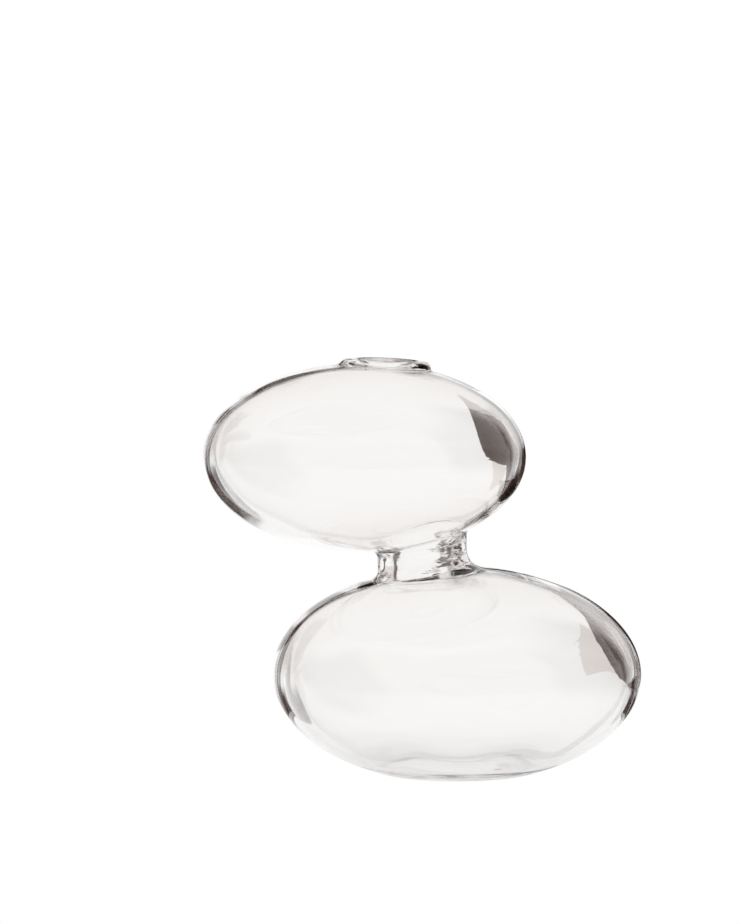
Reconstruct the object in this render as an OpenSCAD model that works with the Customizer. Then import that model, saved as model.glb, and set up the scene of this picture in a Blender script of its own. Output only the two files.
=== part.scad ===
// Hand blown vase of two squashed glass bubbles, stacked off centre.
// Each bulb is sealed to the neck between them with a bead of glass, and a rolled lip rings the mouth.
// Millimetres. +Z up, origin at the centre of the flat foot of the lower bulb.
// +X points to the side on which the lower bulb stands out from under the upper one.

/* [Lower bulb] */
// Outer radius of the lower bulb at its equator
lower_radius = 83; // [70:1:95]
// Outer half height of the lower bulb, before its foot is flattened
lower_half_height = 48.2; // [44:0.1:49]
// Depth of glass that flattening takes off the bottom of the lower bulb
foot_flat = 4.4; // [3:0.1:6]
// Thickness of the glass between the foot and the flat floor of the lower cavity
foot_wall = 4; // [3:0.5:6]

/* [Upper bulb] */
// Outer radius of the upper bulb at its equator
upper_radius = 72.5; // [66:0.5:80]
// Outer half height of the upper bulb
upper_half_height = 42.3; // [38:0.1:43.5]
// How far the upper bulb's centre stands to the left of the lower bulb's
upper_shift = 41.4; // [36:0.1:46]
// Height of the upper bulb's centre above the foot
upper_centre_height = 141.9; // [141:0.1:150]

/* [Walls] */
// Wall at the equator of the lower bulb
lower_equator_wall = 4.6; // [3:0.1:5]
// Wall at the equator of the upper bulb
upper_equator_wall = 3.6; // [3:0.1:4.5]
// Wall at the poles of both bulbs
pole_wall = 2.5; // [2.2:0.1:3.4]
// How far both cavities stand to the right in their bulbs, which leaves the left walls thicker
cavity_shift = 0.5; // [0:0.1:1]

/* [Neck] */
// How far the neck's axis stands to the left of the lower bulb's
neck_shift = 15.5; // [12:0.5:18]
// Outer radius of the neck
neck_radius = 20; // [18:0.5:22]
// Radius of the passage through the neck
passage_radius = 14; // [12:0.5:15]
// Thickness of each sealing bead at the neck's axis
bead_height = 3; // [2.6:0.1:3.4]
// Radius of the hollow curve from a sealing bead out on to its bulb
bead_flare = 4.5; // [3:0.5:5]

/* [Mouth] */
// How far the mouth's axis stands to the right of the upper bulb's
mouth_shift = 9.6; // [6:0.1:14]
// Outer radius of the rolled lip
lip_radius = 20; // [18:0.5:22]
// Radius of the mouth opening
mouth_radius = 12.5; // [11:0.5:14]
// Height of the rolled lip's section
lip_height = 5.6; // [5:0.2:6.4]
// Depth of the middle of the lip's section below the bulb's surface
lip_sink = 1.1; // [0.8:0.1:1.4]
// Lean of the lip to the right
lip_lean = 2.4; // [1:0.1:5]

/* [Hidden] */
$fn = 96;

lower_centre = [0, 0, lower_half_height - foot_flat];
upper_centre = [-upper_shift, 0, upper_centre_height];

// Height of a spheroid's surface over its equator, at a distance from its axis.
function crown(radius, half_height, distance) = half_height * sqrt(1 - pow(distance / radius, 2));

// Lean of a spheroid's surface at a distance from its axis, as an angle from level.
function lean(radius, half_height, distance) =
    atan(pow(half_height / radius, 2) * distance / crown(radius, half_height, distance));

// The neck's axis as seen from the upper bulb's centre.
neck_from_upper = upper_shift - neck_shift;
lower_joint_height = lower_centre[2] + crown(lower_radius, lower_half_height, neck_shift);
upper_joint_height = upper_centre[2] - crown(upper_radius, upper_half_height, neck_from_upper);
lower_joint_lean = -lean(lower_radius, lower_half_height, neck_shift);
upper_joint_lean = -lean(upper_radius, upper_half_height, neck_from_upper);

mouth_height = upper_centre[2] + crown(upper_radius, upper_half_height, mouth_shift);

// Longer than anything that it cuts.
reach = 120;
bead_radius = neck_radius + bead_flare;

// Half of an ellipse, on the right of its upright axis.
module half_oval(radius, half_height) {
    intersection() {
        scale([1, half_height / radius]) circle(r = radius);
        translate([0, -reach]) square(2 * reach);
    }
}

// A half oval of the lower bulb, flattened at a height above the foot.
module standing_on(floor_height) {
    intersection() {
        translate([0, lower_centre[2]]) children();
        translate([0, floor_height]) square(reach);
    }
}

module lower_outside() {
    translate(lower_centre) rotate_extrude() half_oval(lower_radius, lower_half_height);
}

module upper_outside() {
    translate(upper_centre) rotate_extrude() half_oval(upper_radius, upper_half_height);
}

// The straight passage from one cavity to the other.
module passage() {
    translate([-neck_shift, 0, lower_centre[2]])
        cylinder(r = passage_radius, h = upper_centre[2] - lower_centre[2]);
}

module at_lower_joint() {
    translate([-neck_shift, 0, lower_joint_height]) rotate([0, lower_joint_lean, 0]) children();
}

module at_upper_joint() {
    translate([-neck_shift, 0, upper_joint_height]) rotate([0, upper_joint_lean, 0]) children();
}

module at_mouth() {
    translate([mouth_shift - upper_shift, 0, mouth_height]) rotate([0, lip_lean, 0]) children();
}

// A ring of glass with rounded inner and outer edges. The wall of the upper bulb runs into its outer side.
module lip_ring() {
    edge = lip_height / 2;
    at_mouth() translate([0, 0, -lip_sink]) rotate_extrude() {
        translate([mouth_radius + edge, 0]) circle(r = edge);
        translate([lip_radius - edge, 0]) circle(r = edge);
        translate([mouth_radius + edge, -edge]) square([lip_radius - mouth_radius - lip_height, lip_height]);
    }
}

module above() {
    translate([-reach / 2, -reach / 2, 0]) cube(reach);
}

// A bead as wide as the neck at its face, which flares out to the bulb behind it.
module flared_bead() {
    rotate_extrude() difference() {
        translate([0, -bead_flare]) square([bead_radius, bead_height + bead_flare]);
        translate([bead_radius, bead_height]) circle(r = bead_flare);
    }
}

module lower_bulb() {
    color([0.93, 0.93, 0.92, 0.35]) difference() {
        rotate_extrude() standing_on(0) half_oval(lower_radius, lower_half_height);
        translate([cavity_shift, 0, 0]) rotate_extrude() standing_on(foot_wall)
            half_oval(lower_radius - lower_equator_wall, lower_half_height - pole_wall);
        passage();
    }
}

module lower_seal_bead() {
    color([0.88, 0.90, 0.90, 0.45]) difference() {
        at_lower_joint() flared_bead();
        lower_outside();
        passage();
    }
}

module neck_tube() {
    color([0.90, 0.91, 0.90, 0.45]) difference() {
        translate([-neck_shift, 0, lower_joint_height]) cylinder(
            r = neck_radius, h = upper_joint_height - lower_joint_height);
        passage();
        at_lower_joint() translate([0, 0, bead_height - reach]) above();
        at_upper_joint() translate([0, 0, -bead_height]) above();
    }
}

module upper_seal_bead() {
    color([0.88, 0.90, 0.90, 0.45]) difference() {
        at_upper_joint() mirror([0, 0, 1]) flared_bead();
        upper_outside();
        passage();
    }
}

module upper_bulb() {
    color([0.93, 0.93, 0.92, 0.35]) difference() {
        upper_outside();
        translate(upper_centre + [cavity_shift, 0, 0]) rotate_extrude()
            half_oval(upper_radius - upper_equator_wall, upper_half_height - pole_wall);
        passage();
        at_mouth() translate([0, 0, -upper_half_height])
            cylinder(r = (mouth_radius + lip_radius) / 2, h = 2 * upper_half_height);
        lip_ring();
    }
}

module mouth_lip() {
    color([0.86, 0.88, 0.88, 0.5]) lip_ring();
}

lower_bulb();
lower_seal_bead();
neck_tube();
upper_seal_bead();
upper_bulb();
mouth_lip();
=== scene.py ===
"""A hand blown vase of two squashed glass bubbles, modelled as six fused pieces of glass."""

import math

import bpy
import numpy as np
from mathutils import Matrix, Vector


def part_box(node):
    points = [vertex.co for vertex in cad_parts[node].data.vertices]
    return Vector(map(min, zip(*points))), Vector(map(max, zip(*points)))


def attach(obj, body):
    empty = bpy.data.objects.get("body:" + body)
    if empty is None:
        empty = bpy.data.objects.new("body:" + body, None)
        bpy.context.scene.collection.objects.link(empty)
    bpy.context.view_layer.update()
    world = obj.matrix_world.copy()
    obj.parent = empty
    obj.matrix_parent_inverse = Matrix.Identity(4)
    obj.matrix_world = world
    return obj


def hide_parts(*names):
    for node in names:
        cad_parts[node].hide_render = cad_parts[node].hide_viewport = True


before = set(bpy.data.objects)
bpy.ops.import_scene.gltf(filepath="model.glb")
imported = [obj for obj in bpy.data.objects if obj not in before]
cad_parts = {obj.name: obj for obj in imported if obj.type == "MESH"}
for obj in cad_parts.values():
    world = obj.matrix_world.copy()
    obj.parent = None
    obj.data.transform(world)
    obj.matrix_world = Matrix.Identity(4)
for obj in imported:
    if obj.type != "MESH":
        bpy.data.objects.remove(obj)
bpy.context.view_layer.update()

# ---------------------------------------------------------------- sizes, in metres

FOOT_FLAT = 0.0044  # glass that flattening takes off the bottom of the lower bulb
FOOT_WALL = 0.004  # from the foot up to the floor of the lower cavity
UPPER_HALF_HEIGHT = 0.0423  # of the upper bulb, whose top pole is cut away by the mouth
LOWER_EQUATOR_WALL = 0.0046
UPPER_EQUATOR_WALL = 0.0036
POLE_WALL = 0.0025
CAVITY_SHIFT = 0.0005  # the cavities stand to the right, so the left walls are thicker

PASSAGE_RADIUS = 0.014
BEAD_FLARE = 0.0045  # how far each sealing bead spreads past the neck
BEAD_HEIGHT = 0.003

MOUTH_RADIUS = 0.0125
LIP_RADIUS = 0.020
LIP_HEIGHT = 0.0056
LIP_SINK = 0.0011  # middle of the lip's section under the bulb's surface
LIP_LEAN = math.radians(2.4)  # to the right
LIP_SWELLS = ((2, 0.05, 0.4), (3, 0.04, 1.9))  # waves round the lip: how many, how high, from where
LIP_ROLL = (50, 300)  # degrees of the lip's section that lie clear of the bulb, from its outer side

# Widths of the rounding where two surfaces of the glass run into each other.
LOWER_SEAL_ROUNDING = (0.003, 0.010)  # on the left and on the right of the neck
UPPER_SEAL_ROUNDING = (0.0045, 0.0025)
PASSAGE_ROUNDING = 0.008
FOOT_ROUNDING = 0.0012
FLOOR_ROUNDING = 0.004  # at the edge of the lower cavity's floor
LIP_ROUNDING = 0.0022

COLUMNS = 288  # points round every ring of glass
BULB_ROWS = 150  # on each side of a bulb's wall
ROW_TRAVEL = 0.002  # rows stand closer together the further the glass runs between them ...
ROW_TURN = 0.06  # ... and the more it turns
BEAD_ROWS = 22
NECK_ROWS = 16
LIP_ROWS = 72
SEAM_ROUNDS = 8  # steps that bring a fused joint's edge on to the glass
TINY = 1e-9  # keeps a divisor above zero


def oval_distance(scaled, radii):
    """About how far a point lies outside an oval, from its place measured in the oval's radii."""
    reach = np.maximum(np.linalg.norm(scaled, axis=-1), TINY)
    steepness = np.maximum(np.linalg.norm(scaled / radii, axis=-1), TINY)
    return reach * (reach - 1) / steepness


class Oval:
    """A sphere squashed from above, with its centre on the plane y = 0."""

    def __init__(self, x, z, radius, half_height):
        self.x = x
        self.z = z
        self.radius = radius
        self.half_height = half_height
        self.centre = np.array([x, 0.0, z])
        self.radii = np.array([radius, radius, half_height])

    def distance(self, points):
        """About how far each point lies outside the surface."""
        return oval_distance((points - self.centre) / self.radii, self.radii)

    def crown(self, offset):
        """Height of the surface over the centre, at a distance from the upright axis."""
        return self.half_height * math.sqrt(1 - (offset / self.radius) ** 2)

    def lean(self, offset):
        """Angle of the surface from level, at a distance to the right of the upright axis."""
        squash = self.half_height / self.radius
        return math.atan(squash * squash * offset / self.crown(offset))

    def hollow(self, equator_wall):
        """The oval cavity inside this one."""
        return Oval(self.x + CAVITY_SHIFT, self.z, self.radius - equator_wall,
                    self.half_height - POLE_WALL)


lower_low, lower_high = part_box("lower_bulb")
upper_low, upper_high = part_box("upper_bulb")
neck_low, neck_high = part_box("neck_tube")
lip_low, lip_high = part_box("mouth_lip")

lower_half_height = (lower_high.z + FOOT_FLAT) / 2
lower = Oval(0.0, lower_half_height - FOOT_FLAT, (lower_high.x - lower_low.x) / 2, lower_half_height)
upper = Oval((upper_low.x + upper_high.x) / 2, upper_low.z + UPPER_HALF_HEIGHT,
             (upper_high.x - upper_low.x) / 2, UPPER_HALF_HEIGHT)
lower_hollow = lower.hollow(LOWER_EQUATOR_WALL)
upper_hollow = upper.hollow(UPPER_EQUATOR_WALL)

neck_x = (neck_low.x + neck_high.x) / 2
neck_radius = (neck_high.y - neck_low.y) / 2
mouth_x = (lip_low.x + lip_high.x) / 2
mouth_point = np.array([mouth_x, 0.0, upper.z + upper.crown(mouth_x - upper.x)])
mouth_axis = np.array([math.sin(LIP_LEAN), 0.0, math.cos(LIP_LEAN)])
lip_centre = mouth_point - mouth_axis * LIP_SINK
lip_middle = (LIP_RADIUS + MOUTH_RADIUS) / 2
lip_half_width = (LIP_RADIUS - MOUTH_RADIUS) / 2

# ---------------------------------------------------------------- the glass as a distance field


def merged(a, b, rounding):
    """The lesser of two distances, with the crease between them filled."""
    share = np.clip(0.5 + 0.5 * (b - a) / rounding, 0, 1)
    return b + (a - b) * share - rounding * share * (1 - share)


def shared(a, b, rounding):
    """The greater of two distances, with the edge between them rounded off."""
    return -merged(-a, -b, rounding)


def rod(points, foot, axis, length, radius):
    """Distance outside a straight round rod."""
    from_foot = points - foot
    along = from_foot @ axis
    across = np.linalg.norm(from_foot - along[..., None] * axis, axis=-1)
    return np.maximum(across - radius, np.maximum(-along, along - length))


RIPPLE_UPRIGHT = 1.6  # how much more the ripples change upwards than sideways
RIPPLE_HEIGHTS = (0.6, 1.4)  # of the single waves, as shares of their mean height


def ripples(seed, waves, shortest, longest, height):
    """A function of position that wanders gently by about height, as blown glass does."""
    chance = np.random.default_rng(seed)
    ways = chance.normal(size=(waves, 3)) * np.array([1.0, 1.0, RIPPLE_UPRIGHT])
    ways /= np.linalg.norm(ways, axis=1)[:, None]
    ways *= 2 * math.pi / chance.uniform(shortest, longest, waves)[:, None]
    starts = chance.uniform(0, 2 * math.pi, waves)
    heights = height * math.sqrt(2 / waves) * chance.uniform(*RIPPLE_HEIGHTS, waves)

    def at(points):
        return np.sin(points @ ways.T + starts) @ heights

    return at


outer_ripples = ripples(seed=11, waves=9, shortest=0.028, longest=0.075, height=0.00007)
inner_ripples = ripples(seed=23, waves=12, shortest=0.022, longest=0.060, height=0.00009)
UPRIGHT = np.array([0.0, 0.0, 1.0])
neck_foot = np.array([neck_x, 0.0, lower.z])


def outside(points):
    """Distance outside the vase, as if it were solid glass without its lip."""
    neck = rod(points, neck_foot, UPRIGHT, upper.z - lower.z, neck_radius)
    side = np.clip((points[..., 0] - neck_x) / neck_radius, -1, 1) / 2 + 0.5
    lower_rounding = LOWER_SEAL_ROUNDING[0] * (1 - side) + LOWER_SEAL_ROUNDING[1] * side
    upper_rounding = UPPER_SEAL_ROUNDING[0] * (1 - side) + UPPER_SEAL_ROUNDING[1] * side
    shape = merged(lower.distance(points), neck, lower_rounding)
    shape = merged(shape, upper.distance(points), upper_rounding)
    return shared(shape + outer_ripples(points), -points[..., 2], FOOT_ROUNDING)


def inside(points):
    """Distance outside the hollow, which runs from the lower cavity to the mouth."""
    passage = rod(points, neck_foot, UPRIGHT, upper.z - lower.z, PASSAGE_RADIUS)
    floor = FOOT_WALL - points[..., 2]
    shape = shared(lower_hollow.distance(points), floor, FLOOR_ROUNDING)
    shape = merged(shape, passage, PASSAGE_ROUNDING)
    shape = merged(shape, upper_hollow.distance(points), PASSAGE_ROUNDING)
    return shape + inner_ripples(points)


def lip(points):
    """Distance outside the rolled lip, a ring with an oval section that swells and thins a little."""
    from_centre = points - lip_centre
    along = from_centre @ mouth_axis
    flat = from_centre - along[..., None] * mouth_axis
    across = np.linalg.norm(flat, axis=-1)
    turn = np.arctan2(flat[..., 1], flat[..., 0])
    swell = sum((height * np.cos(waves * turn + start) for waves, height, start in LIP_SWELLS), 1)
    section = np.stack([across - lip_middle, along], axis=-1)
    section_radii = np.array([lip_half_width, LIP_HEIGHT / 2])
    return oval_distance(section / section_radii / swell[..., None], section_radii)


def glass(points):
    """Distance outside the glass itself: below zero in the glass, above it in the air."""
    throat = rod(points, lip_centre - mouth_axis * LIP_RADIUS, mouth_axis, 2 * LIP_RADIUS, lip_middle)
    shell = np.maximum(np.maximum(outside(points), -inside(points)), -throat)
    return merged(shell, lip(points), LIP_ROUNDING)


def slope(points, step=2e-6):
    """Gradient of the glass field."""
    parts = []
    for way in np.eye(3) * step:
        parts.append((glass(points + way) - glass(points - way)) / (2 * step))
    return np.stack(parts, axis=-1)


def settled(points, rounds, longest_step=0.0008):
    """Moves points on to the surface of the glass."""
    for _ in range(rounds):
        gradient = slope(points)
        move = glass(points)[..., None] * gradient / np.sum(gradient ** 2, axis=-1, keepdims=True)
        size = np.maximum(np.linalg.norm(move, axis=-1, keepdims=True), TINY)
        points = points - move * np.minimum(1, longest_step / size)
    return points


# ---------------------------------------------------------------- rings of points on the glass

turns = np.arange(COLUMNS) * 2 * math.pi / COLUMNS


def circle(centre, axis, radius):
    """A ring round an axis that lies in the plane y = 0. It starts on the right."""
    side = np.array([axis[2], 0.0, -axis[0]])
    return (centre + radius * np.cos(turns)[:, None] * side
            + radius * np.sin(turns)[:, None] * np.array([0.0, 1.0, 0.0]))


def oval_ring(oval, lean, polar):
    """A ring on an oval, round an axis that leans to the right, at a polar angle from its top."""
    axis = np.array([math.sin(lean), 0.0, math.cos(lean)])
    unit = circle(math.cos(polar) * axis, axis, math.sin(polar))
    return oval.centre + oval.radii * unit


def around_hole(oval, hole_x, hole_radius, below=False):
    """(lean, polar angle) of the ring on an oval that goes round an upright hole."""
    lean = math.asin((hole_x - oval.x) / oval.radius)
    polar = math.asin(hole_radius / oval.radius)
    return (-lean, math.pi - polar) if below else (lean, polar)


def oval_rings(oval, start, end, count=200):
    """Rings on an oval between two (lean, polar angle) pairs."""
    rings = []
    for share in np.linspace(0, 1, count):
        eased = share * share * (3 - 2 * share)
        lean = start[0] + (end[0] - start[0]) * eased
        rings.append(oval_ring(oval, lean, start[1] + (end[1] - start[1]) * share))
    return np.array(rings)


def straight_rings(start, end, count=24):
    """Rings on the straight way from one ring to another, without the two."""
    shares = np.linspace(0, 1, count + 2)[1:-1, None, None]
    return start + (end - start) * shares


def upright_ring(radius, seat, lean, rise):
    """A ring on an upright tube round the neck's axis, cut by a plane that leans over a seat."""
    ring = circle(np.array([neck_x, 0.0, 0.0]), UPRIGHT, radius)
    ring[:, 2] = seat + rise / math.cos(lean) - (ring[:, 0] - neck_x) * math.tan(lean)
    return ring


def skin(*parts, rows):
    """Rows of points on the glass along rings that run from the first part to the last.

    The first and last rings stay as they are. The rows between stand closer where the glass turns.
    """
    rings = np.concatenate([part if part.ndim == 3 else part[None] for part in parts])
    first, last = rings[0], rings[-1]
    rings = settled(rings, rounds=4)
    rings[0], rings[-1] = first, last
    normals = slope(rings)
    normals /= np.linalg.norm(normals, axis=-1, keepdims=True)
    travel = np.linalg.norm(np.diff(rings, axis=0), axis=-1) / ROW_TRAVEL
    turning = np.linalg.norm(np.diff(normals, axis=0), axis=-1) / ROW_TURN
    passed = np.concatenate([[0], np.cumsum((travel + turning).mean(axis=1))])
    places = np.interp(np.linspace(0, passed[-1], rows), passed, np.arange(len(passed)))
    before = np.minimum(places.astype(int), len(rings) - 2)
    share = (places - before)[:, None, None]
    spread = rings[before] * (1 - share) + rings[before + 1] * share
    spread[1:-1] = settled(spread[1:-1], rounds=3)
    return spread


# ---------------------------------------------------------------- materials


def new_material(name):
    """A node material with its Principled shader and its node tree."""
    material = bpy.data.materials.new(name)
    material.use_nodes = True
    tree = material.node_tree
    return material, tree, tree.nodes["Principled BSDF"]


def add(tree, kind, inputs=None, **settings):
    """A new node with some of its settings and input values."""
    node = tree.nodes.new(kind)
    for key, value in settings.items():
        setattr(node, key, value)
    for key, value in (inputs or {}).items():
        if isinstance(value, bpy.types.NodeSocket):
            tree.links.new(value, node.inputs[key])
        else:
            node.inputs[key].default_value = value
    return node


GLASS_INDEX = 1.5
CORD_STRETCH = 7  # the cords are this much longer than they are high
LEAST_POLISH = 0.02  # roughness where the glass is the least polished


def glass_material(name, clear, cloudy, cord_depth, cord_size):
    """Clear soda glass, whose tint and surface wander in faint level cords left by the spinning."""
    material, tree, shader = new_material(name)
    place = add(tree, "ShaderNodeTexCoord")
    stretched = add(tree, "ShaderNodeMapping",
                    {"Vector": place.outputs["Object"], "Scale": (1, 1, CORD_STRETCH)})
    cords = add(tree, "ShaderNodeTexNoise",
                {"Vector": stretched.outputs["Vector"], "Scale": 1 / cord_size, "Detail": 2.0,
                 "Roughness": 0.5, "Distortion": 0.4})
    tint = add(tree, "ShaderNodeMix", data_type="RGBA")
    tree.links.new(cords.outputs["Fac"], tint.inputs["Factor"])
    tint.inputs[6].default_value = (*clear, 1)
    tint.inputs[7].default_value = (*cloudy, 1)
    tree.links.new(tint.outputs[2], shader.inputs["Base Color"])
    polish = add(tree, "ShaderNodeMapRange",
                 {"Value": cords.outputs["Fac"], "To Min": 0.0, "To Max": LEAST_POLISH})
    tree.links.new(polish.outputs["Result"], shader.inputs["Roughness"])
    bump = add(tree, "ShaderNodeBump", {"Height": cords.outputs["Fac"], "Strength": 1.0,
                                        "Distance": cord_depth})
    tree.links.new(bump.outputs["Normal"], shader.inputs["Normal"])
    shader.inputs["IOR"].default_value = GLASS_INDEX
    shader.inputs["Transmission Weight"].default_value = 1.0
    return material


def fused_material():
    """The face where two pieces of glass have melted together: nothing shows of it."""
    material, _, shader = new_material("fused_glass")
    shader.inputs["Base Color"].default_value = (1, 1, 1, 1)
    shader.inputs["Alpha"].default_value = 0.0
    return material


bulb_glass = glass_material("bulb_glass", clear=(0.993, 0.988, 0.982), cloudy=(0.968, 0.959, 0.950),
                            cord_depth=0.00002, cord_size=0.05)
joint_glass = glass_material("joint_glass", clear=(0.985, 0.980, 0.974), cloudy=(0.95, 0.94, 0.93),
                             cord_depth=0.00012, cord_size=0.015)
lip_glass = glass_material("lip_glass", clear=(0.975, 0.970, 0.962), cloudy=(0.93, 0.92, 0.91),
                           cord_depth=0.00005, cord_size=0.015)
fused = fused_material()

# ---------------------------------------------------------------- closed pieces of glass


def piece(node, material, skins, poles=False):
    """The closed piece of glass that stands for a CAD node, from skins of rows that follow each other.

    Between one skin's last row and the next one's first runs a fused face. The last skin runs back
    to the first the same way, or both end in a pole.
    """
    rows = np.concatenate(skins)
    fused_strips = set(np.cumsum([len(rows_of_skin) for rows_of_skin in skins]) - 1)
    points = []
    index = []
    for number, row in enumerate(rows):
        is_pole = poles and number in (0, len(rows) - 1)
        kept = row.mean(axis=0, keepdims=True) if is_pole else row
        index.append([len(points)] * COLUMNS if is_pole else
                     list(range(len(points), len(points) + COLUMNS)))
        points.extend(kept)
    points = np.array(points)
    faces, is_fused = [], []
    for number in range(len(rows) - 1 if poles else len(rows)):
        here, there = index[number], index[(number + 1) % len(rows)]
        for column in range(COLUMNS):
            after = (column + 1) % COLUMNS
            corners = (here[column], here[after], there[after], there[column])
            faces.append(tuple(dict.fromkeys(corners)))
            is_fused.append(number in fused_strips)
    mesh = bpy.data.meshes.new(node + "_glass")
    mesh.from_pydata(points.tolist(), [], faces)
    if signed_volume(points, faces) < 0:
        mesh.flip_normals()
    mesh.materials.append(material)
    mesh.materials.append(fused)
    mesh.polygons.foreach_set("material_index", [int(hidden) for hidden in is_fused])
    mesh.polygons.foreach_set("use_smooth", [not hidden for hidden in is_fused])
    shade(mesh, points)
    made = bpy.data.objects.new(node + "_glass", mesh)
    bpy.context.scene.collection.objects.link(made)
    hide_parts(node)
    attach(made, "root")


def signed_volume(points, faces):
    """Volume inside the faces, below zero where they face inwards."""
    quads = np.array([face if len(face) == 4 else face + face[-1:] for face in faces])
    a, b, c, d = (points[quads[:, k]] for k in range(4))
    total = 0.0
    for second, third in ((b, c), (c, d)):
        total += np.einsum("ij,ij->i", a, np.cross(second, third)).sum()
    return total / 6


def shade(mesh, points):
    """Gives smooth faces the true normals of the glass, and fused faces their own flat ones."""
    normals = slope(points)
    normals /= np.linalg.norm(normals, axis=-1, keepdims=True)
    corner_point = np.zeros(len(mesh.loops), int)
    mesh.loops.foreach_get("vertex_index", corner_point)
    corner_normals = normals[corner_point]
    for face in mesh.polygons:
        if not face.use_smooth:
            corner_normals[face.loop_start:face.loop_start + face.loop_total] = face.normal
    mesh.normals_split_custom_set(corner_normals.tolist())


# Where the five fused joints run.
bead_radius = neck_radius + BEAD_FLARE
lower_seat = lower.z + lower.crown(neck_x - lower.x)
upper_seat = upper.z - upper.crown(neck_x - upper.x)
lower_lean = lower.lean(neck_x - lower.x)
upper_lean = -upper.lean(neck_x - upper.x)

lower_hole = around_hole(lower, neck_x, bead_radius)
upper_hole = around_hole(upper, neck_x, bead_radius, below=True)
mouth_hole = around_hole(upper, mouth_x, LIP_RADIUS + LIP_ROUNDING / 2)
mouth_edge = around_hole(upper_hollow, mouth_x, LIP_RADIUS + LIP_ROUNDING / 2)


def seam(outer_edge, inner_edge):
    """A fused joint, as its edge on the outside of the glass and its edge on the inside."""
    return settled(outer_edge, SEAM_ROUNDS), settled(inner_edge, SEAM_ROUNDS)


bulb_to_bead = seam(oval_ring(lower, *lower_hole),
                    upright_ring(PASSAGE_RADIUS, lower_seat, lower_lean, 0.0))
bead_to_neck = seam(upright_ring(neck_radius, lower_seat, lower_lean, BEAD_HEIGHT),
                    upright_ring(PASSAGE_RADIUS, lower_seat, lower_lean, BEAD_HEIGHT))
neck_to_bead = seam(upright_ring(neck_radius, upper_seat, upper_lean, -BEAD_HEIGHT),
                    upright_ring(PASSAGE_RADIUS, upper_seat, upper_lean, -BEAD_HEIGHT))
bead_to_bulb = seam(oval_ring(upper, *upper_hole),
                    upright_ring(PASSAGE_RADIUS, upper_seat, upper_lean, 0.0))
bulb_to_lip = seam(oval_ring(upper, *mouth_hole), oval_ring(upper_hollow, *mouth_edge))


def at_least(rings, height):
    """The rings, with no point of them under a height."""
    return np.concatenate([rings[..., :2], np.maximum(rings[..., 2:], height)], axis=-1)


def lower_bulb():
    """The wide bubble that stands on its flattened foot."""
    hole_edge = around_hole(lower_hollow, neck_x, PASSAGE_RADIUS + PASSAGE_ROUNDING)
    foot_up = at_least(oval_rings(lower, (0.0, math.pi), lower_hole)[:-1], 0.0)
    hollow_down = at_least(oval_rings(lower_hollow, hole_edge, (0.0, math.pi)), FOOT_WALL)
    outer = skin(foot_up, bulb_to_bead[0], rows=BULB_ROWS)
    inner = skin(bulb_to_bead[1], straight_rings(bulb_to_bead[1], hollow_down[0]), hollow_down,
                 rows=BULB_ROWS)
    piece("lower_bulb", bulb_glass, [outer, inner], poles=True)


def joint_piece(node, below, above, rows):
    """A short ring of glass between two fused joints."""
    outer = skin(below[0], straight_rings(below[0], above[0]), above[0], rows=rows)
    inner = skin(above[1], straight_rings(above[1], below[1]), below[1], rows=rows)
    piece(node, joint_glass, [outer, inner])


def upper_bulb():
    """The smaller bubble, open below into the neck and above into the mouth."""
    neck_edge = around_hole(upper_hollow, neck_x, PASSAGE_RADIUS + PASSAGE_ROUNDING, below=True)
    outer_up = oval_rings(upper, upper_hole, mouth_hole)[1:-1]
    hollow_down = oval_rings(upper_hollow, mouth_edge, neck_edge)[1:]
    outer = skin(bead_to_bulb[0], outer_up, bulb_to_lip[0], rows=BULB_ROWS)
    inner = skin(bulb_to_lip[1], hollow_down, straight_rings(hollow_down[-1], bead_to_bulb[1]),
                 bead_to_bulb[1], rows=BULB_ROWS)
    piece("upper_bulb", bulb_glass, [outer, inner])


def mouth_lip():
    """The rolled ring of glass round the mouth."""
    rings = []
    for bend in np.radians(np.linspace(*LIP_ROLL, num=64)):
        height = LIP_HEIGHT / 2 * math.sin(bend)
        across = lip_middle + lip_half_width * math.cos(bend)
        rings.append(circle(lip_centre + mouth_axis * height, mouth_axis, across))
    rings = np.array(rings)
    over = skin(bulb_to_lip[0], straight_rings(bulb_to_lip[0], rings[0], count=8), rings,
                straight_rings(rings[-1], bulb_to_lip[1], count=8), bulb_to_lip[1], rows=LIP_ROWS)
    piece("mouth_lip", lip_glass, [over])


lower_bulb()
joint_piece("lower_seal_bead", bulb_to_bead, bead_to_neck, rows=BEAD_ROWS)
joint_piece("neck_tube", bead_to_neck, neck_to_bead, rows=NECK_ROWS)
joint_piece("upper_seal_bead", neck_to_bead, bead_to_bulb, rows=BEAD_ROWS)
upper_bulb()
mouth_lip()

# ---------------------------------------------------------------- floor, light and camera

WHITE = (1.0, 1.0, 1.0)
PALE = (0.82, 0.775, 0.755)
DIM = (0.765, 0.72, 0.70)
GREY = (0.52, 0.475, 0.455)
DARK = (0.052, 0.030, 0.026)  # warm black cloth

FLOOR_RADIUS = 0.12
FLOOR_GAP = 0.0002  # below the foot

# How bright the glass sees the floor, from its middle outwards, and the radii between which that changes:
# a painted contact shadow, darkest in a ring under the foot's rim and fading out beyond the foot.
SHADED_FOOT_GLOW = 0.80
RIM_SHADE_START, SHADED_RIM_GLOW = (0.0305, 0.0325), 0.60
RIM_SHADE_END, SHADED_NEAR_GLOW = (0.0358, 0.0372), 0.82
NEAR_END, SHADED_MIDDLE_GLOW = (0.040, 0.075), 0.94
MIDDLE_END, FAR_GLOW = (0.08, 0.115), 1.0

FLAG_BACK = 0.5  # plane of the standing cards
FLAG_LIFT = 0.001  # of the lying cards over the foot's level

CAMERA_PLACE = (-0.03895, -1.9, 0.29364)
CAMERA_PITCH = 0.08093  # downwards
CAMERA_LENS = 165.5
SENSOR_WIDTH = 36.0
FARTHEST_SEEN = 40.0

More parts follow.
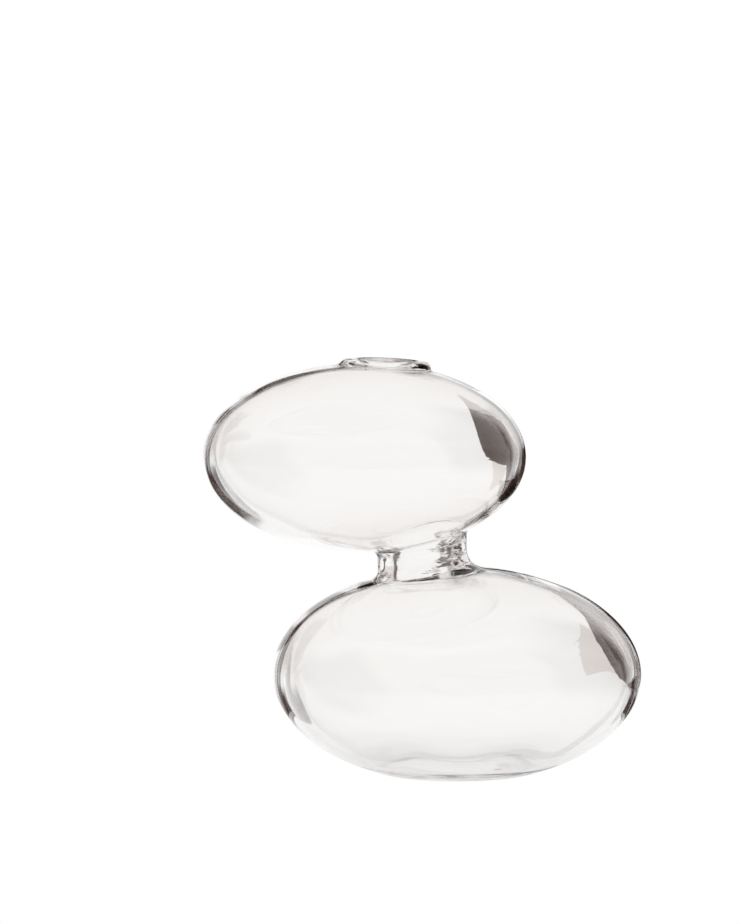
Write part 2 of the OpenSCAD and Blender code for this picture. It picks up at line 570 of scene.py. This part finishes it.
# The white panel and the dark gap round it, in degrees away from the way that the camera looks.
PANEL_EDGE = 19.5
GAP_EDGE = 28.5
LOW_PANEL_EDGE = 15.0  # below the middle of the view the gap is wider
LOW_GAP_EDGE = 36.0
EDGE_SOFTNESS = 1.5
LOW_GAP_LIFT = (-0.16, -0.06)  # the wider gap fades out between these, upwards
SWEEP_SPREAD = 0.75  # half the width of the white sweep under the panel, for every 1 down
SWEEP_SOFTNESS = 0.02
SPILL = 0.5  # share of the gap's darkness that light takes away at its upper right
SPILL_SIDE = 0.10  # how far right and how far up until all of that light is there
SPILL_LIFT = 0.12
HORIZON = (-6.0, 0.0)  # degrees of rise over which the dim room starts
DARK_SIDE = (42.0, 115.0, 16.0)  # bearing of the dark side: from, to and softness, in degrees
DARK_SIDE_RISE = (-8.0, 54.0, 30.0)  # the same for its rise

LIGHT_PATHS = 48  # bounces, so that light trapped in the thick joints finds its way out
JOINT_CROSSINGS = 128  # times that a ray may pass through the fused faces


def math_node(tree, operation, *values):
    """The outcome of a calculation with one or two values."""
    return add(tree, "ShaderNodeMath", dict(enumerate(values)), operation=operation).outputs[0]


def smooth(tree, value, low, high, at_low, at_high):
    """A value carried softly from one level to another between two limits."""
    step = add(tree, "ShaderNodeMapRange", {"Value": value, "From Min": low, "From Max": high,
                                            "To Min": at_low, "To Max": at_high},
               interpolation_type="SMOOTHSTEP")
    return step.outputs["Result"]


def between(tree, angle, low, high, soft):
    """1 where an angle lies between two bounds in degrees, with a soft step at each."""
    low, high, half = math.radians(low), math.radians(high), math.radians(soft) / 2
    return math_node(tree, "MULTIPLY", smooth(tree, angle, low - half, low + half, 0.0, 1.0),
                     smooth(tree, angle, high - half, high + half, 1.0, 0.0))


def towards(tree, way, direction):
    """How far a way of length 1 runs in a direction."""
    return add(tree, "ShaderNodeVectorMath", {0: way, 1: direction},
               operation="DOT_PRODUCT").outputs["Value"]


def laid(tree, under, mask, colour):
    """A colour laid over another one where the mask is 1."""
    mixed = add(tree, "ShaderNodeMix", {"Factor": mask}, data_type="RGBA")
    if isinstance(under, tuple):
        mixed.inputs[6].default_value = (*under, 1)
    else:
        tree.links.new(under, mixed.inputs[6])
    mixed.inputs[7].default_value = (*colour, 1)
    return mixed.outputs[2]


def glowing(name, corners):
    """A flat face that only glows and reflects nothing, with its object, node tree and shader."""
    mesh = bpy.data.meshes.new(name)
    mesh.from_pydata(corners, [], [tuple(range(len(corners)))])
    face = bpy.data.objects.new(name, mesh)
    bpy.context.scene.collection.objects.link(face)
    material, tree, shader = new_material(name)
    shader.inputs["Base Color"].default_value = (0, 0, 0, 1)
    shader.inputs["Specular IOR Level"].default_value = 0.0
    mesh.materials.append(material)
    return face, tree, shader


def pale_floor():
    """A plain white floor. The glass sees it a little dimmer towards the foot and under its rim, a
    contact shadow painted into its glow that the camera does not see.
    """
    rim = [(FLOOR_RADIUS * math.cos(turn), FLOOR_RADIUS * math.sin(turn), -FLOOR_GAP) for turn in turns]
    _, tree, shader = glowing("floor", rim)
    shader.inputs["Emission Color"].default_value = (*WHITE, 1)
    place = add(tree, "ShaderNodeTexCoord").outputs["Object"]
    distance = add(tree, "ShaderNodeVectorMath", {0: place}, operation="LENGTH").outputs["Value"]
    # Painted contact shadow: the glow that the glass sees falls towards the foot and is lowest under its
    # rim.
    glow = smooth(tree, distance, *RIM_SHADE_START, SHADED_FOOT_GLOW, SHADED_RIM_GLOW)
    for radii, before, after in ((RIM_SHADE_END, SHADED_RIM_GLOW, SHADED_NEAR_GLOW), (NEAR_END, SHADED_NEAR_GLOW, SHADED_MIDDLE_GLOW),
                                 (MIDDLE_END, SHADED_MIDDLE_GLOW, FAR_GLOW)):
        glow = math_node(tree, "ADD", glow, smooth(tree, distance, *radii, 0.0, after - before))
    camera_ray = add(tree, "ShaderNodeLightPath").outputs["Is Camera Ray"]
    tree.links.new(math_node(tree, "MAXIMUM", glow, camera_ray), shader.inputs["Emission Strength"])


def flag(name, colour, corners):
    """A card that is seen only in the glass, as a photographer's flag is."""
    card, _, shader = glowing(name, corners)
    shader.inputs["Emission Color"].default_value = (*colour, 1)
    shader.inputs["Emission Strength"].default_value = 1.0
    card.visible_camera = False
    card.visible_diffuse = False
    card.visible_shadow = False


def flags():
    """The cards at the right: some stand behind the vase, the others lie on the floor.

    Their corners are given to the right and up, or to the right and away from the camera.
    """
    def standing(x, z):
        return x, FLAG_BACK, z

    def lying(x, y):
        return x, y, FLAG_LIFT

    flag("flag_high", DARK, [standing(0.040, 0.104), standing(0.034, 0.150), standing(0.100, 0.130),
                             standing(0.100, 0.098)])
    flag("flag_tip", GREY, [standing(0.034, 0.150), standing(0.032, 0.172), standing(0.068, 0.140)])
    flag("flag_low", DARK, [standing(0.128, 0.0), standing(0.100, 0.060), standing(0.084, 0.098),
                            standing(0.098, 0.130), standing(0.150, 0.134), standing(0.240, 0.134),
                            standing(0.240, 0.0)])
    flag("flag_veil", PALE, [standing(0.046, 0.070), standing(0.042, 0.104), standing(0.084, 0.098),
                             standing(0.076, 0.070)])
    flag("flag_low_veil", PALE, [standing(0.086, 0.0), standing(0.090, 0.026), standing(0.116, 0.026),
                                 standing(0.128, 0.0)])
    flag("flag_floor_right", DARK, [lying(0.125, 0.30), lying(0.165, 0.14), lying(0.32, 0.14),
                                    lying(0.32, 0.498), lying(0.132, 0.498)])
    flag("flag_floor_veil", PALE, [lying(0.090, 0.27), lying(0.125, 0.30), lying(0.132, 0.498),
                                   lying(0.088, 0.498)])


def studio():
    """A white panel ahead, a dark gap round it, a dimmer room beyond and a dark side at the right."""
    world = bpy.data.worlds.new("studio")
    bpy.context.scene.world = world
    world.use_nodes = True
    tree = world.node_tree
    way = add(tree, "ShaderNodeTexCoord").outputs["Generated"]
    side, forward, up = add(tree, "ShaderNodeSeparateXYZ", {"Vector": way}).outputs
    ahead = towards(tree, way, (0.0, math.cos(CAMERA_PITCH), -math.sin(CAMERA_PITCH)))
    lift = towards(tree, way, (0.0, math.sin(CAMERA_PITCH), math.cos(CAMERA_PITCH)))
    off_axis = math_node(tree, "ARCCOSINE", ahead)
    bearing = math_node(tree, "ARCTAN2", side, forward)
    rise = math_node(tree, "ARCSINE", up)

    sweep_edge = math_node(tree, "ADD", math_node(tree, "ABSOLUTE", side),
                           math_node(tree, "MULTIPLY", lift, SWEEP_SPREAD))
    off_sweep = smooth(tree, sweep_edge, -SWEEP_SOFTNESS, SWEEP_SOFTNESS, 0.0, 1.0)
    gap = between(tree, off_axis, PANEL_EDGE, GAP_EDGE, EDGE_SOFTNESS)
    low_gap = math_node(tree, "MULTIPLY",
                        between(tree, off_axis, LOW_PANEL_EDGE, LOW_GAP_EDGE, EDGE_SOFTNESS),
                        smooth(tree, lift, *LOW_GAP_LIFT, 1.0, 0.0))
    spill = math_node(tree, "MULTIPLY", smooth(tree, side, 0.0, SPILL_SIDE, 0.0, SPILL),
                      smooth(tree, lift, 0.0, SPILL_LIFT, 0.0, 1.0))
    gap = math_node(tree, "MULTIPLY", math_node(tree, "MAXIMUM", gap, low_gap),
                    math_node(tree, "SUBTRACT", 1.0, spill))

    room = smooth(tree, off_axis, math.radians(GAP_EDGE - EDGE_SOFTNESS),
                  math.radians(GAP_EDGE + EDGE_SOFTNESS), 0.0, 1.0)
    above = smooth(tree, rise, *map(math.radians, HORIZON), 0.0, 1.0)
    dark_side = math_node(tree, "MULTIPLY", between(tree, bearing, *DARK_SIDE),
                          between(tree, rise, *DARK_SIDE_RISE))
    camera_ray = add(tree, "ShaderNodeLightPath").outputs["Is Camera Ray"]

    light = laid(tree, WHITE, math_node(tree, "MULTIPLY", room, above), DIM)
    light = laid(tree, light, math_node(tree, "MULTIPLY", gap, off_sweep), DARK)
    light = laid(tree, light, dark_side, DARK)
    light = laid(tree, light, camera_ray, WHITE)
    tree.links.new(light, tree.nodes["Background"].inputs["Color"])


def camera():
    """The camera of the reference view: long lens, just above the mouth, looking slightly down."""
    data = bpy.data.cameras.new("camera")
    data.lens = CAMERA_LENS
    data.sensor_width = SENSOR_WIDTH
    data.clip_end = FARTHEST_SEEN
    made = bpy.data.objects.new("camera", data)
    bpy.context.scene.collection.objects.link(made)
    made.location = CAMERA_PLACE
    made.rotation_euler = (math.pi / 2 - CAMERA_PITCH, 0.0, 0.0)
    bpy.context.scene.camera = made


pale_floor()
flags()
studio()
camera()
bpy.context.scene.view_settings.view_transform = "Standard"
paths = bpy.context.scene.cycles
paths.max_bounces = paths.transmission_bounces = paths.glossy_bounces = LIGHT_PATHS
paths.transparent_max_bounces = JOINT_CROSSINGS
